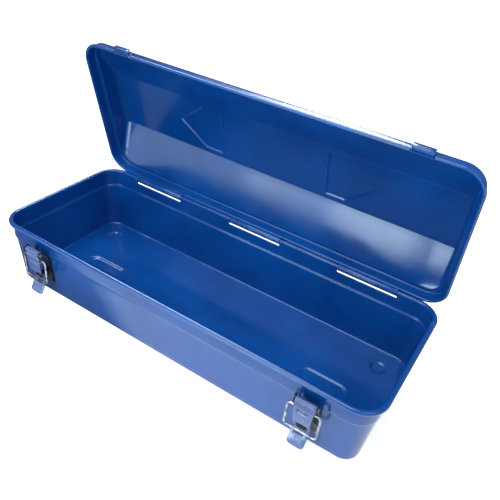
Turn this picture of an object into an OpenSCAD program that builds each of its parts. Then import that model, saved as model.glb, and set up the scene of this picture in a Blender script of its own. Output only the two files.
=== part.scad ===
// Pressed-steel tool box: one open tray, a three-faced lid on three strap hinges,
// two draw latches and a folding carrying handle. Millimetres. X runs along the
// length, the front is at -Y, Z is up and zero is the underside of the tray's floor.

/* [Case] */
// Length over the rolled rims
case_l = 412; // [320:1:520]
// Depth over the rolled rims
case_d = 163; // [130:1:220]
// Height of the tray, underside of its floor to top of rim
tray_h = 71.5; // [60:0.5:120]
// Thickness of the sheet steel
sheet = 1; // [0.8:0.1:1.2]
// Plan radius of the corners over the rim
corner_r = 24; // [18:1:36]
// Radius of the rolled rim
curl_r = 2.5; // [2:0.1:3.5]
// Height of the wider band under the rim
band_h = 18.5; // [12:0.5:24]
// How far the band stands out from the wall below it
band_out = 1.2; // [0.6:0.1:2]
// How far the wall has come in from the rim at the floor
wall_in = 9.6; // [7:0.1:16]
// Radius between the wall and the floor
floor_r = 3.5; // [3:0.5:8]

/* [Feet] */
// How far the pressed feet stand below the floor
foot_h = 1.5; // [1:0.1:3]
// Radius of a pressed foot
foot_r = 8; // [5:0.5:10]
// Distance of the corner feet from the ends of the case
foot_end = 34; // [30:1:60]
// Distance of the corner feet from the front and back of the case
foot_side = 35; // [30:1:60]
// Distance of the two long feet's outer rounds from the ends of the case
mid_foot_end = 54; // [50:1:90]
// How far forward of the middle the two long feet are
mid_foot_y = 5; // [0:1:12]
// Distance between the two rounds of a long foot
mid_foot_l = 32; // [10:1:60]

/* [Lid] */
// Radius of the lid's rolled rim
lid_curl_r = 1.7; // [1.4:0.1:2.5]
// Height of the lid over the tray's rim
lid_h = 33.5; // [26:0.5:50]
// Height of the lid's upright skirt
skirt_h = 12; // [11:0.5:16]
// Width of the ledge inside the skirt
ledge = 4; // [2:0.5:8]
// Width of the flat top panel
top_w = 61; // [54:1:80]
// Radius of the two long creases
crease_r = 5; // [2:0.5:8]
// Radius where the panels turn down into the ends
end_r = 8; // [4:0.5:8]
// Angle of the lid from shut to open
open_angle = 75; // [60:1:75]
// Gap left between the two rims when the lid is shut
rim_gap = 0.3; // [0.3:0.1:0.6]

/* [Hinges] */
// Width of a hinge knuckle
hinge_w = 62.4; // [40:0.1:70]
// Distance of the outer hinges from the ends of the case
hinge_end = 44.4; // [40:0.1:60]
// Thickness of a hinge strap
strap_t = 1; // [0.8:0.1:1]
// How far each strap is wider than its knuckle at one side
shoulder = 4; // [3:0.5:6]

/* [Latches] */
// Distance of the latches from the ends of the case
latch_end = 55; // [50:1:80]
// Width of the lever
lever_w = 18; // [16:0.5:24]
// Thickness of the lever's sheet
lever_t = 1.2; // [1:0.1:1.4]
// Radius of the lever's pin
pin_r = 1.5; // [1.2:0.1:1.6]
// Radius of the bail's wire
bail_r = 1.1; // [0.8:0.1:1.2]
// Drop of the bail from its pivot to its lower wire
bail_drop = 26; // [24:0.5:28]

/* [Handle] */
// Distance between the two legs of the handle
handle_w = 124; // [110:1:150]
// Reach of the handle from its pivot to the grip
handle_reach = 45; // [40:1:50]
// Radius of the handle's rod
rod_r = 3; // [2.5:0.1:3.5]
// Radius of the grip
grip_r = 7.5; // [6:0.5:8]
// Length of the grip
grip_l = 94; // [80:1:100]
// How far the two pads under the handle are pressed out
pad_out = 1.2; // [0.6:0.1:2]

/* [Hidden] */
$fn = 64;
eps = 0.01;
enamel = [0.08, 0.25, 0.62];
zinc = [0.75, 0.77, 0.78];
black = [0.08, 0.08, 0.09];

// Fits
run_gap = 0.05;
side_gap = 0.4;

// Rims
rim_lap = 0.15;
corner_x = case_l / 2 - corner_r;
corner_y = case_d / 2 - corner_r;
curl_at = corner_r - curl_r;
curl_z = tray_h - curl_r;
band_r = curl_at - curl_r + rim_lap;
curl_y = corner_y + curl_at;

// Tray wall, as distances from the corner centres
jog_h = 2;
jog_z = tray_h - band_h - jog_h / 2;
wall_r = band_r + sheet - band_out;
wall_base_r = corner_r - wall_in;
wall_y = corner_y + wall_r;
wall_lean = atan((wall_r - wall_base_r) / jog_z);

// Hinges, measured from the middle of the tray's back curl
ring_r = curl_r + run_gap;
hinge_x = case_l / 2 - hinge_end - hinge_w / 2;
slot_gap = 0.5;
slot_drop = 5.1;
strap_lap = 1.75;
rim_pitch = 2 * curl_r + rim_gap;

// Lid, with zero at the top of the tray's rim when shut
lid_curl_z = rim_gap + lid_curl_r;
lid_curl_at = band_r - rim_lap + lid_curl_r;
roof_x = case_l / 2 - corner_r + band_r + sheet - ledge;
roof_y = case_d / 2 - corner_r + band_r + sheet - ledge;
roof_r = band_r + sheet - ledge;
roof_slope = atan((lid_h - skirt_h) / (roof_y - top_w / 2));

// Pads for the handle
pad_in = handle_w / 2 - 1;
pad_flat = 22;
pad_tip = 53;
pad_half = 25;

// Latches: x along the case, y up the wall, z out from the wall; their zero lies
// latch_rise above the foot of the band
latch_rise = 3.5;
latch_x = case_l / 2 - latch_end;
latch_y = wall_y + latch_rise * tan(wall_lean);
latch_z = jog_z + latch_rise;
pin_at = [9, 3];
bail_at = [9.5, -4];
knuckle_r = pin_r + run_gap + lever_t;
plate_at = pin_at[0] + knuckle_r - lever_t / 2;
plate_end = -21;
web_at = 7.5;
web_top = -24.5;
web_end = -31.5;
finger_tip = [16.5, -45.5];
finger_w = 15.5;
ear_t = 1.2;
ear_in = lever_w / 2 + side_gap;
base_w = 2 * (ear_in + ear_t);
base_top = -1.5 - latch_rise;
base_end = -38;
rivet_r = 1.6;
rivet_at = [-9.5, -33];
tongue_w = 8;
tongue_at = -27;
tongue_tip = 3.4;
tongue_out = 9.8;
bail_half = 14.4;
bail_in = 7.2;
bail_bend = 3;

// Keepers
keeper_w = 18;
keeper_z = 0.8;
keeper_out = 1.6;
keeper_t = 1;

// Handle
head_r = 4.2;
rod_z = lid_h + pad_out + head_r + side_gap;
saddle_w = 10;
saddle_t = 1.2;
saddle_x = handle_w / 2 + 14;
saddle_foot = 11;
head_t = 2;
leg_bend = 7;
grip_bend = 9;

function unit(v) = v / norm(v);
function side(p, i, s) = unit(p[(i + s + len(p)) % len(p)] - p[i]);
function spread(p, i) = acos(side(p, i, -1) * side(p, i, 1));
function touch(p, i, r, s) = p[i] + side(p, i, s) * r / tan(spread(p, i) / 2);
function centre(p, i, r) = p[i] + unit(side(p, i, -1) + side(p, i, 1)) * r / sin(spread(p, i) / 2);
function heading(v) = atan2(v[1], v[0]);
// Where a latch point [out, up] lies in the case, as [y, z]
function on_wall(p) = [
  -latch_y - p[0] * cos(wall_lean) - p[1] * sin(wall_lean),
  latch_z - p[0] * sin(wall_lean) + p[1] * cos(wall_lean),
];

// Convex outline with each corner rounded by its own radius
module rounded(p, r) {
  polygon([
    for (i = [0:len(p) - 1], s = [-1, 1])
      if (r[i] > 0 || s < 0) touch(p, i, r[i], s)
  ]);
  for (i = [0:len(p) - 1])
    if (r[i] > 0)
      translate(centre(p, i, r[i]))
        circle(r[i]);
}

// Sheet of thickness t along a flat path, with round turns
module sheet_path(p, t) {
  for (i = [0:len(p) - 2]) {
    translate(p[i])
      rotate(heading(p[i + 1] - p[i]))
        translate([0, -t / 2])
          square([norm(p[i + 1] - p[i]), t]);
    translate(p[i + 1])
      circle(t / 2);
  }
}

// Round wire along a flat path with the bend radius b at its inner points
module wire(p, r, b) {
  last = len(p) - 1;
  for (i = [0:last - 1]) {
    from = i == 0 ? p[0] : touch(p, i, b, 1);
    to = i == last - 1 ? p[last] : touch(p, i + 1, b, -1);
    translate(from)
      rotate([0, 90, heading(to - from)])
        cylinder(r = r, h = norm(to - from));
  }
  for (i = [1:last - 1]) {
    a = heading(touch(p, i, b, -1) - centre(p, i, b));
    c = heading(touch(p, i, b, 1) - centre(p, i, b));
    turn = (c - a + 540) % 360 - 180;
    translate(centre(p, i, b))
      rotate(turn > 0 ? a : c)
        rotate_extrude(angle = abs(turn))
          translate([b, 0])
            circle(r);
  }
}

// Runs a wall profile round the plan: along each side and round each corner
module round_plan() {
  for (mx = [0, 1], my = [0, 1])
    mirror([mx, 0, 0])
      mirror([0, my, 0])
        translate([corner_x, corner_y, 0])
          rotate_extrude(angle = 90)
            children();
  for (my = [0, 1])
    mirror([0, my, 0])
      translate([-corner_x, corner_y, 0])
        rotate([90, 0, 90])
          linear_extrude(2 * corner_x)
            children();
  for (mx = [0, 1])
    mirror([mx, 0, 0])
      translate([corner_x, corner_y, 0])
        rotate([90, 0, 0])
          linear_extrude(2 * corner_y)
            children();
}

// Extrudes a [y, z] drawing along X, w wide, about x = 0
module along_x(w) {
  rotate([90, 0, 90])
    linear_extrude(w, center = true)
      children();
}

// Extrudes a latch's [out, up] drawing across the latch, w wide
module across(w) {
  rotate([0, -90, 0])
    linear_extrude(w, center = true)
      children();
}

module on_front(x) {
  translate([x, -latch_y, latch_z])
    rotate([90 + wall_lean, 0, 0])
      children();
}

// Holds what is drawn with the lid shut in its open place
module opened() {
  translate([0, curl_y, curl_z])
    rotate([-open_angle, 0, 0])
      translate([0, -curl_y, tray_h - curl_z])
        children();
}

// ---- tray ----
module wall_outline(t, top) {
  rounded(
    [[0, t], [wall_base_r + t * tan(wall_lean) - t, t], [wall_r - t, jog_z + t / 2],
     [wall_r - t + band_out, jog_z + jog_h + t / 2], [wall_r - t + band_out, top], [0, top]],
    [0, floor_r - t, 0, 0, 0, 0]
  );
}

module tray_feet(r, low, high) {
  for (sx = [-1, 1]) {
    for (sy = [-1, 1])
      translate([sx * (case_l / 2 - foot_end), sy * (case_d / 2 - foot_side), low])
        cylinder(r1 = r - foot_h, r2 = r, h = high - low);
    translate([sx * (case_l / 2 - mid_foot_end - mid_foot_l / 2), -mid_foot_y, low]) {
      for (m = [-1, 1])
        translate([m * mid_foot_l / 2, 0, 0])
          cylinder(r1 = r - foot_h, r2 = r, h = high - low);
      along_x(mid_foot_l)
        polygon([[foot_h - r, 0], [r - foot_h, 0], [r, high - low], [-r, high - low]]);
    }
  }
}

module tray_shell() color(enamel) {
  difference() {
    union() {
      round_plan()
        difference() {
          wall_outline(0, curl_z);
          wall_outline(sheet, curl_z + 1);
        }
      translate([-corner_x, -corner_y, 0])
        cube([2 * corner_x, 2 * corner_y, sheet]);
      tray_feet(foot_r, -foot_h, sheet);
    }
    tray_feet(foot_r - sheet, sheet - foot_h, sheet + eps);
    for (x = [-hinge_x, 0, hinge_x])
      translate([x, curl_y, curl_z])
        cutter_slot();
    for (x = [-latch_x, latch_x], y = rivet_at)
      on_front(x)
        translate([0, y, -5])
          cylinder(r = rivet_r + run_gap, h = 8);
  }
  round_plan()
    translate([curl_at, curl_z])
      circle(curl_r);
}

module cutter_slot() {
  w = hinge_w + 2 * slot_gap;
  translate([-w / 2, -curl_r - 3, -slot_drop])
    cube([w, 6, slot_drop + 4]);
}

// ---- latches ----
module latch_base(x) color(zinc) on_front(x) {
  difference() {
    union() {
      translate([-base_w / 2, base_end, 0])
        cube([base_w, base_top - base_end, ear_t]);
      for (s = [-1, 1])
        translate([s * (ear_in + ear_t / 2), 0, 0])
          across(ear_t) {
            translate(pin_at)
              circle(4);
            polygon([[0, base_top], [1.5, base_top], [6.4, 6], [9, 7], [9, 0], [8.4, -0.95],
                     [ear_t, -14], [0, -14]]);
          }
      translate([0, tongue_at, 0])
        across(tongue_w) {
          sheet_path([[ear_t / 2, 0], [tongue_out - ear_t / 2, 0]], ear_t);
          sheet_path([[tongue_out - ear_t / 2, tongue_tip / 2], [tongue_out - ear_t / 2, -tongue_tip / 2]], ear_t);
        }
    }
    translate([0, pin_at[1], pin_at[0]])
      rotate([0, 90, 0])
        cylinder(r = pin_r, h = 2 * base_w, center = true);
    for (y = rivet_at)
      translate([0, y, -1])
        cylinder(r = rivet_r + run_gap, h = 4);
  }
}

module base_rivets(x) color(zinc) on_front(x) {
  for (y = rivet_at)
    translate([0, y, 0]) {
      translate([0, 0, ear_t])
        cylinder(r1 = 3, r2 = 2.2, h = 1);
      translate([0, 0, -sheet - 0.2])
        cylinder(r = rivet_r, h = sheet + 0.2 + ear_t);
      translate([0, 0, -sheet - 1])
        cylinder(r1 = 2.2, r2 = 2.8, h = 0.9);
    }
}

module lever_pin(x) color(zinc) on_front(x) {
  translate([0, pin_at[1], pin_at[0]])
    rotate([0, 90, 0]) {
      cylinder(r = pin_r, h = base_w + 1, center = true);
      for (s = [-1, 1])
        translate([0, 0, s * (base_w / 2 + 0.5)])
          cylinder(r = pin_r + 0.9, h = 1, center = true);
    }
}

module lever(x) color(enamel) on_front(x) {
  difference() {
    union() {
      across(lever_w) {
        translate(pin_at)
          circle(knuckle_r);
        sheet_path([[plate_at, pin_at[1]], [plate_at, plate_end], [web_at, web_top], [web_at, web_end]], lever_t);
      }
      finger();
      for (s = [-1, 1])
        translate([s * (lever_w - lever_t) / 2, 0, 0])
          across(lever_t)
            rounded([[plate_at, pin_at[1] - 1], [7.2, pin_at[1] - 3], [7.2, -12], [plate_at, plate_end + 2]],
                    [0, 1, 1.5, 0]);
    }
    translate([0, pin_at[1], pin_at[0]])
      rotate([0, 90, 0])
        cylinder(r = pin_r + run_gap, h = 2 * lever_w, center = true);
    translate([0, bail_at[1], bail_at[0]])
      rotate([0, 90, 0])
        cylinder(r = bail_r + run_gap, h = 2 * lever_w, center = true);
    translate([-6, -14.5, plate_at + lever_t / 2 - 0.5])
      cube([12, 11.5, 2]);
    translate([-tongue_w / 2 - 1, tongue_at - tongue_tip / 2 - 1.2, web_at - 3])
      cube([tongue_w + 2, tongue_tip + 2.5, 4.2]);
  }
}

// The flared finger end, with round corners and a pressed slot
module finger() {
  run = finger_tip - [web_at, web_end];
  translate([0, web_end, web_at])
    rotate([atan(run[0] / run[1]), 0, 0])
      translate([0, 0, -lever_t / 2])
        linear_extrude(lever_t)
          difference() {
            rounded([[-finger_w / 2, 0.3], [finger_w / 2, 0.3], [finger_w / 2, -norm(run)], [-finger_w / 2, -norm(run)]],
                    [0, 0, 3.5, 3.5]);
            translate([0, -4.3])
              rounded([[-4.2, -1.3], [4.2, -1.3], [4.2, 1.3], [-4.2, 1.3]], [0.8, 0.8, 0.8, 0.8]);
          }
}

module bail(x) color(zinc) {
  at = on_wall(bail_at);
  translate([x, at[0], at[1]])
    rotate([90, 0, 0])
      wire([[bail_in, 0], [bail_half, 0], [bail_half, -bail_drop], [-bail_half, -bail_drop],
            [-bail_half, 0], [-bail_in, 0]], bail_r, bail_bend);
}

// ---- lid, drawn shut with zero at the top of the tray's rim ----
module roof(t, low) {
  intersection() {
    along_x(2 * case_l)
      rounded(
        [[-roof_y + t, low], [roof_y - t, low],
         [roof_y - t, skirt_h + t * tan(roof_slope) - t / cos(roof_slope)],
         [top_w / 2 - t * tan(roof_slope / 2), lid_h - t], [-top_w / 2 + t * tan(roof_slope / 2), lid_h - t],
         [-roof_y + t, skirt_h + t * tan(roof_slope) - t / cos(roof_slope)]],
        [0, 0, 0, crease_r - t, crease_r - t, 0]
      );
    linear_extrude(2 * lid_h)
      plan_outline(roof_x - t, roof_y - t, roof_r - t);
    under_panel(-1, t);
    under_panel(0, t);
    under_panel(1, t);
  }
}

module plan_outline(x, y, r) {
  rounded([[-x, -y], [x, -y], [x, y], [-x, y]], [r, r, r, r]);
}

// The room under one panel, with its ends rounded over: s is -1 for the front
// slope, 0 for the top and 1 for the back slope
module under_panel(s, t) {
  translate([0, s * top_w / 2, lid_h])
    rotate([90 - s * roof_slope, 0, 0])
      linear_extrude(2 * case_d, center = true)
        rounded([[-roof_x + t, -case_d], [roof_x - t, -case_d], [roof_x - t, eps - t], [-roof_x + t, eps - t]],
                [0, 0, end_r - t, end_r - t]);
}

module pad(t, low, high) {
  for (m = [0, 1])
    mirror([m, 0, 0])
      translate([0, 0, low])
        linear_extrude(high - low)
          rounded(
            [[pad_in + t, -pad_half + t], [pad_in + pad_flat, -pad_half + t], [pad_in + pad_tip - 1.3 * t, 0],
             [pad_in + pad_flat, pad_half - t], [pad_in + t, pad_half - t]],
            [2, 6, 5, 6, 2]
          );
}

module lid_shell() color(enamel) opened() {
  difference() {
    union() {
      round_plan()
        difference() {
          rounded([[0, lid_curl_z], [band_r + sheet, lid_curl_z], [band_r + sheet, skirt_h], [0, skirt_h]],
                  [0, 0, 2, 0]);
          rounded([[-1, 0], [band_r, 0], [band_r, skirt_h - sheet], [-1, skirt_h - sheet]], [0, 0, 1, 0]);
        }
      difference() {
        round_plan()
          translate([lid_curl_at, lid_curl_z])
            circle(lid_curl_r);
        for (x = [-latch_x, latch_x])
          translate([x - keeper_w / 2 - 1, -case_d / 2 - 1, -1])
            cube([keeper_w + 2, 1 + 2 * curl_r - rim_lap - sheet, 2 * curl_r + 2]);
      }
      roof(0, skirt_h - sheet);
      pad(0, lid_h - sheet, lid_h + pad_out);
    }
    roof(sheet, 0);
    pad(sheet, lid_h - 2 * sheet, lid_h + pad_out - sheet);
    for (x = [-hinge_x, 0, hinge_x])
      translate([x, curl_y, curl_z - tray_h])
        along_x(hinge_w + 2 * slot_gap)
          circle(ring_r + strap_t + run_gap);
  }
}

// One strap: round the tray's curl, up past the lid's curl and onto the skirt
module hinge_strap(x) color(enamel) opened() {
  skirt_y = band_r + sheet - curl_at;
  skirt_z = rim_pitch + ring_r;
  translate([x, curl_y, curl_z - tray_h]) {
    along_x(hinge_w)
      difference() {
        circle(ring_r + strap_t);
        circle(ring_r);
      }
    along_x(hinge_w + 2 * shoulder) {
      translate([ring_r, -strap_lap])
        square([strap_t, strap_lap + rim_pitch]);
      translate([0, rim_pitch])
        intersection() {
          difference() {
            circle(ring_r + strap_t);
            circle(ring_r);
          }
          square(2 * ring_r);
        }
      translate([skirt_y, skirt_z])
        square([-skirt_y, strap_t]);
      translate([skirt_y, skirt_z])
        square([strap_t, skirt_h + curl_r - skirt_z - 2]);
    }
  }
}

// Hook plate let into a notch of the lid's front curl
module keeper(x) color(enamel) opened() {
  skirt_y = -corner_y - band_r - sheet;
  translate([x, 0, 0])
    along_x(keeper_w)
      sheet_path([
        [skirt_y - keeper_t / 2, skirt_h - 2.5],
        [skirt_y - keeper_t / 2, keeper_z + keeper_t / 2],
        [-case_d / 2 - keeper_out, keeper_z + keeper_t / 2],
        [-case_d / 2 - keeper_out, keeper_z + 5],
      ], keeper_t);
}

// ---- handle ----
module handle_saddle(m) color(zinc) opened() {
  base = lid_h + pad_out;
  mirror([m, 0, 0])
    translate([saddle_x, 0, 0])
      along_x(saddle_w)
        difference() {
          union() {
            translate([0, rod_z])
              circle(rod_r + run_gap + saddle_t);
            translate([-rod_r - run_gap - saddle_t, base])
              square([2 * (rod_r + run_gap + saddle_t), rod_z - base]);
            translate([-saddle_foot, base])
              square([2 * saddle_foot, saddle_t]);
          }
          translate([0, rod_z])
            circle(rod_r + run_gap);
          translate([-rod_r - run_gap, base - 1])
            square([2 * (rod_r + run_gap), rod_z - base + 1]);
        }
}

module handle_rod() color(zinc) opened() {
  end_x = saddle_x + saddle_w / 2 + side_gap;
  translate([0, 0, rod_z]) {
    for (m = [0, 1])
      mirror([m, 0, 0]) {
        wire([[end_x + head_t, 0], [handle_w / 2, 0], [handle_w / 2, handle_reach / 2]], rod_r, leg_bend);
        wire([[handle_w / 2, handle_reach / 2], [handle_w / 2, handle_reach], [0, handle_reach]], rod_r, grip_bend);
        translate([end_x, 0, 0])
          rotate([0, 90, 0])
            cylinder(r = head_r, h = head_t);
      }
  }
}

module handle_grip() color(black) opened() {
  translate([0, handle_reach, rod_z])
    rotate([0, 90, 0])
      rotate_extrude()
        difference() {
          rounded([[0, -grip_l / 2], [grip_r, -grip_l / 2], [grip_r, grip_l / 2], [0, grip_l / 2]],
                  [0, 2.5, 2.5, 0]);
          translate([-1, -grip_l])
            square([rod_r + 1, 2 * grip_l]);
        }
}

tray_shell();
latch_base(-latch_x);  // latch_base_left
latch_base(latch_x);  // latch_base_right
base_rivets(-latch_x);  // base_rivets_left
base_rivets(latch_x);  // base_rivets_right
lever_pin(-latch_x);  // lever_pin_left
lever_pin(latch_x);  // lever_pin_right
lever(-latch_x);  // lever_left
lever(latch_x);  // lever_right
bail(-latch_x);  // bail_left
bail(latch_x);  // bail_right
lid_shell();
hinge_strap(-hinge_x);  // hinge_strap_left
hinge_strap(0);  // hinge_strap_middle
hinge_strap(hinge_x);  // hinge_strap_right
keeper(-latch_x);  // keeper_left
keeper(latch_x);  // keeper_right
handle_saddle(1);  // handle_saddle_left
handle_saddle(0);  // handle_saddle_right
handle_rod();
handle_grip();
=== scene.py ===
"""Looks of the portable tool box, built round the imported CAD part.

Every new piece is drawn in millimetres in the CAD part's own frames (the case, the shut
lid and the latch) and then put in its place in metres. The sizes are the CAD's sizes.
"""

import logging
import math
from collections.abc import Callable, Sequence
from dataclasses import dataclass
from enum import Enum
from functools import partial

import bmesh
import bpy
from mathutils import Matrix, Vector, noise


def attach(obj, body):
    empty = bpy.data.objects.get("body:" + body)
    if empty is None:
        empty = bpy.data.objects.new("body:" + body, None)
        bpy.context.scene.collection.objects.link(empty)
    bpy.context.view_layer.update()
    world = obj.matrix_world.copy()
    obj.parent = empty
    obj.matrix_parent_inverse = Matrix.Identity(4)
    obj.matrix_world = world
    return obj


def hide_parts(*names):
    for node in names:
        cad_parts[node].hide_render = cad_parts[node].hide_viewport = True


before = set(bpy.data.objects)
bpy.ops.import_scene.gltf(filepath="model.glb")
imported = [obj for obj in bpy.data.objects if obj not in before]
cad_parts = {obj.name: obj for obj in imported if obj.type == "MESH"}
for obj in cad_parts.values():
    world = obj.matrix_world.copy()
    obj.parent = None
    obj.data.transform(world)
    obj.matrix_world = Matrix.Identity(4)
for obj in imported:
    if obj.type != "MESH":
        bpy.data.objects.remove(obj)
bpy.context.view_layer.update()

log = logging.getLogger("tool_box")

MM = 0.001  # metres in a millimetre
SHEET = 1.0  # thickness of the pressed sheet
RUN_GAP = 0.05  # room between a part that turns and what it turns on
SLOT_ROOM = 0.5  # room at each end of a hinge slot
WELD = 1e-4  # points nearer than this are one
FLAT = 1e-3  # points this near to a level lie on it
NEAR = 0.25  # grid lines nearer than this are one
SKIP = (None,) * 5  # a Mix node's inputs between its factor and its two colours

Pair = tuple[float, float]
Triple = tuple[float, float, float]
Mesh = bmesh.types.BMesh
Edges = list[bmesh.types.BMEdge]
Face = bmesh.types.BMFace
Vert = bmesh.types.BMVert
Material = bpy.types.Material
Socket = bpy.types.NodeSocket
Tree = bpy.types.NodeTree


class Body(Enum):
    """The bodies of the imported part; a latch finds its own two by their values."""

    CASE = "case"
    LID = "lid"
    HANDLE = "handle"
    LEFT_LEVER = "left_lever"
    RIGHT_LEVER = "right_lever"
    LEFT_BAIL = "left_bail"
    RIGHT_BAIL = "right_bail"


class Slot(Enum):
    """Material slot names, listed beside each latch part but not read."""

    ENAMEL = "blue_enamel"
    ZINC = "zinc_plate"
    WIRE = "zinc_wire"
    GRIP = "black_grip"


# ---- sizes that more than one piece shares, in millimetres ----


@dataclass(frozen=True)
class CaseSizes:
    """The plan and the rims, as in the CAD part."""

    length: float = 412.0
    depth: float = 163.0
    rim_top: float = 71.5
    corner: float = 24.0
    curl: float = 2.5
    lap: float = 0.15
    band: float = 18.5
    band_out: float = 1.2
    wall_in: float = 9.6
    latch_rise: float = 3.5
    lid_curl: float = 1.7
    open_angle: float = 75.0
    latch_x: float = 151.0
    hinge_xs: tuple[float, ...] = (-130.4, 0.0, 130.4)
    hinge_w: float = 62.4
    rim_gap: float = 0.3
    skirt: float = 12.0
    keeper_half: float = 9.0

    @property
    def corner_x(self) -> float:
        """X of the plan's corner centres."""
        return self.length / 2 - self.corner

    @property
    def corner_y(self) -> float:
        """Y of the plan's corner centres."""
        return self.depth / 2 - self.corner

    @property
    def curl_at(self) -> float:
        """Distance of the rim's middle from the corner centres."""
        return self.corner - self.curl

    @property
    def curl_z(self) -> float:
        """Height of the tray rim's middle."""
        return self.rim_top - self.curl

    @property
    def curl_y(self) -> float:
        """Y of the back rim's middle, the hinge line."""
        return self.corner_y + self.curl_at

    @property
    def wall(self) -> float:
        """Distance of the upright wall's inner face from the corner centres."""
        return self.curl_at - self.curl + self.lap

    @property
    def jog_z(self) -> float:
        """Height of the middle of the step under the band."""
        return self.rim_top - self.band - 1.0

    @property
    def lower_wall(self) -> float:
        """Distance of the lower wall's outer face from the corner centres, at the step."""
        return self.wall + SHEET - self.band_out

    @property
    def lean(self) -> float:
        """Lean of the lower wall from upright, in radians."""
        return math.atan((self.lower_wall - (self.corner - self.wall_in)) / self.jog_z)

    @property
    def slot_half(self) -> float:
        """Half of a hinge slot's length."""
        return self.hinge_w / 2 + SLOT_ROOM

    @property
    def notch_half(self) -> float:
        """Half of the width of a keeper's notch in the lid's rim."""
        return self.keeper_half + 1

    @property
    def latch_place(self) -> Pair:
        """Y and z of the latches' zero, on the front wall's plane over the step."""
        out = self.corner_y + self.lower_wall + self.latch_rise * math.tan(self.lean)
        return -out, self.jog_z + self.latch_rise


SIZES = CaseSizes()


def opened() -> Matrix:
    """Puts what is drawn with the lid shut into the lid's open place.

    Returns:
        The matrix from the shut lid's frame (zero at the tray rim's top) to the case's.
    """
    s = SIZES
    hinge = Matrix.Translation((0, s.curl_y, s.curl_z))
    turn = Matrix.Rotation(math.radians(-s.open_angle), 4, "X")
    return hinge @ turn @ Matrix.Translation((0, -s.curl_y, s.rim_top - s.curl_z))


def on_front(x: float) -> Matrix:
    """Puts what is drawn on a latch's own axes onto the front wall.

    Args:
        x: Where along the case the latch's middle is.

    Returns:
        The matrix from the latch's frame (across, up the wall, out) to the case's.
    """
    place = Matrix.Translation((x, *SIZES.latch_place))
    return place @ Matrix.Rotation(math.radians(90) + SIZES.lean, 4, "X")


# ---- mesh work ----


def rounded_path(
    points: Sequence[Pair], radii: Sequence[float], turn_steps: int = 6, longest: float = math.inf
) -> list[Pair]:
    """Rounds the corners of a flat path and splits its long runs.

    Args:
        points: The path's corners.
        radii: The radius at each inner corner.
        turn_steps: How many steps a quarter turn takes.
        longest: The longest run left in one piece.

    Returns:
        The points of the finished path.
    """
    made = [Vector(points[0])]
    for before, at, after, radius in zip(points, points[1:], points[2:], radii):
        p, a, b = Vector(at), Vector(before), Vector(after)
        u, v = (a - p).normalized(), (b - p).normalized()
        half = u.angle(v) / 2
        if radius <= 0 or half > math.radians(89.5):
            made.append(p)
            continue
        reach = radius / math.tan(half)
        middle = p + (u + v).normalized() * radius / math.sin(half)
        start, end = p + u * reach - middle, p + v * reach - middle
        steps = max(2, round(turn_steps * (math.pi - 2 * half) / (math.pi / 2)))
        whole = start.angle_signed(end)
        made += [middle + Matrix.Rotation(-whole * k / steps, 2) @ start for k in range(steps + 1)]
    made.append(Vector(points[-1]))
    path = [made[0]]
    for point in made[1:]:
        gap = (point - path[-1]).length
        if gap < 1e-5:  # two roundings that meet
            continue
        parts = max(1, math.ceil(gap / longest))
        path += [path[-1].lerp(point, k / parts) for k in range(1, parts)] + [point]
    return [(p.x, p.y) for p in path]


def arc(middle: Pair, radius: float, start: float, end: float, steps: int) -> list[Pair]:
    """Gives points along an arc, with angles in degrees from the first axis.

    Args:
        middle: The arc's middle.
        radius: The arc's radius.
        start: The first point's angle.
        end: The last point's angle.
        steps: How many steps the arc takes.

    Returns:
        The arc's points.
    """
    angles = [math.radians(start + (end - start) * k / steps) for k in range(steps + 1)]
    return [(middle[0] + radius * math.cos(a), middle[1] + radius * math.sin(a)) for a in angles]


def spaced(low: float, high: float, step: float) -> list[float]:
    """Evenly spaced values from low to high, about a step apart."""
    count = max(1, round((high - low) / step))
    return [low + (high - low) * k / count for k in range(count + 1)]


def merged(*groups: Sequence[float]) -> list[float]:
    """Sorts grid lines together and drops the ones that nearly coincide."""
    kept: list[float] = []
    for value in sorted(v for g in groups for v in g):
        if not kept or value - kept[-1] > NEAR:
            kept.append(value)
    return kept


def clear_of(lines: Sequence[float], room: float, values: Sequence[float]) -> list[float]:
    """Drops the values that come nearer than some room to a grid line."""
    return [v for v in values if min(abs(v - w) for w in lines) > room]


def ease(value: float, low: float, high: float) -> float:
    """Goes smoothly from 0 at low to 1 at high."""
    t = min(1.0, max(0.0, (value - low) / (high - low)))
    return t * t * (3 - 2 * t)


def chain(bm: Mesh, points: Sequence[Vector], closed: bool = False) -> Edges:
    """Joins a few points into a line of edges."""
    verts = [bm.verts.new(p) for p in points]
    pairs = list(zip(verts, verts[1:])) + ([(verts[-1], verts[0])] if closed else [])
    return [bm.edges.new(p) for p in pairs]


def drawn_out(bm: Mesh, edges: Edges, step: Vector) -> Edges:
    """Extrudes edges by one step and returns the new ones."""
    made = bmesh.ops.extrude_edge_only(bm, edges=edges)["geom"]
    bmesh.ops.translate(bm, verts=[g for g in made if isinstance(g, Vert)], vec=step)
    return [g for g in made if isinstance(g, bmesh.types.BMEdge)]


def turned(bm: Mesh, edges: Edges, middle: Vector, axis: Vector, angle: float, steps: int) -> Edges:
    """Spins edges about an axis, in degrees, and returns the last ones."""
    geom = list({v for e in edges for v in e.verts}) + edges
    made = bmesh.ops.spin(
        bm, geom=geom, cent=middle, axis=axis, angle=math.radians(angle), steps=steps, use_merge=False
    )
    return [g for g in made["geom_last"] if isinstance(g, bmesh.types.BMEdge)]


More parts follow.
